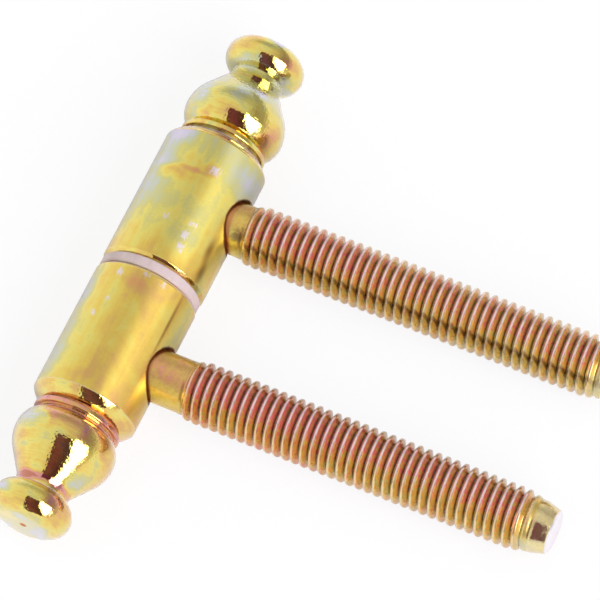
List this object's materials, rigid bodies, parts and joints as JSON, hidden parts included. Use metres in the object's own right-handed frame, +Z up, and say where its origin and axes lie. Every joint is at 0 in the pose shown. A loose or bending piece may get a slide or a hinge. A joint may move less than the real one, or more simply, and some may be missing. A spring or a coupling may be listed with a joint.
{
  "type": "screw-in hinge",
  "caption": "Screw-in hinge: round knuckles with turned finials turn on a hidden pin over a plastic washer, each with a threaded stud on its side.",
  "frame": {"origin": "under the middle of the whole hinge as it lies, on the table", "axes": "+Y along the hinge pin, from the frame half to the leaf half; +X the way the studs point; +Z up from the table"},
  "size_m": [0.068, 0.0732, 0.014],
  "materials": {
    "knuckle_plating": "satin yellow zinc plating on turned steel",
    "stud_plating": "yellow to red zinc plating on rolled threads",
    "pin_steel": "ground steel, lightly oiled",
    "washer_plastic": "milky moulded nylon"
  },
  "bodies": {
    "frame_half": {"frame_knuckle": "knuckle_plating", "frame_stud": "stud_plating", "hinge_pin": "pin_steel"},
    "washer_ring": {"washer": "washer_plastic"},
    "leaf_half": {"leaf_knuckle": "knuckle_plating", "leaf_stud": "stud_plating"}
  },
  "joints": [
    {"name": "swing", "type": "hinge", "parent": "frame_half", "child": "washer_ring", "pos_m": [-0.02698, 0, 0.007], "axis": [0, -1, 0], "continuous": true},
    {"name": "lift_off", "type": "slide", "parent": "washer_ring", "child": "leaf_half", "axis": [0, 1, 0], "range_m": [0, 0.018]}
  ]
}
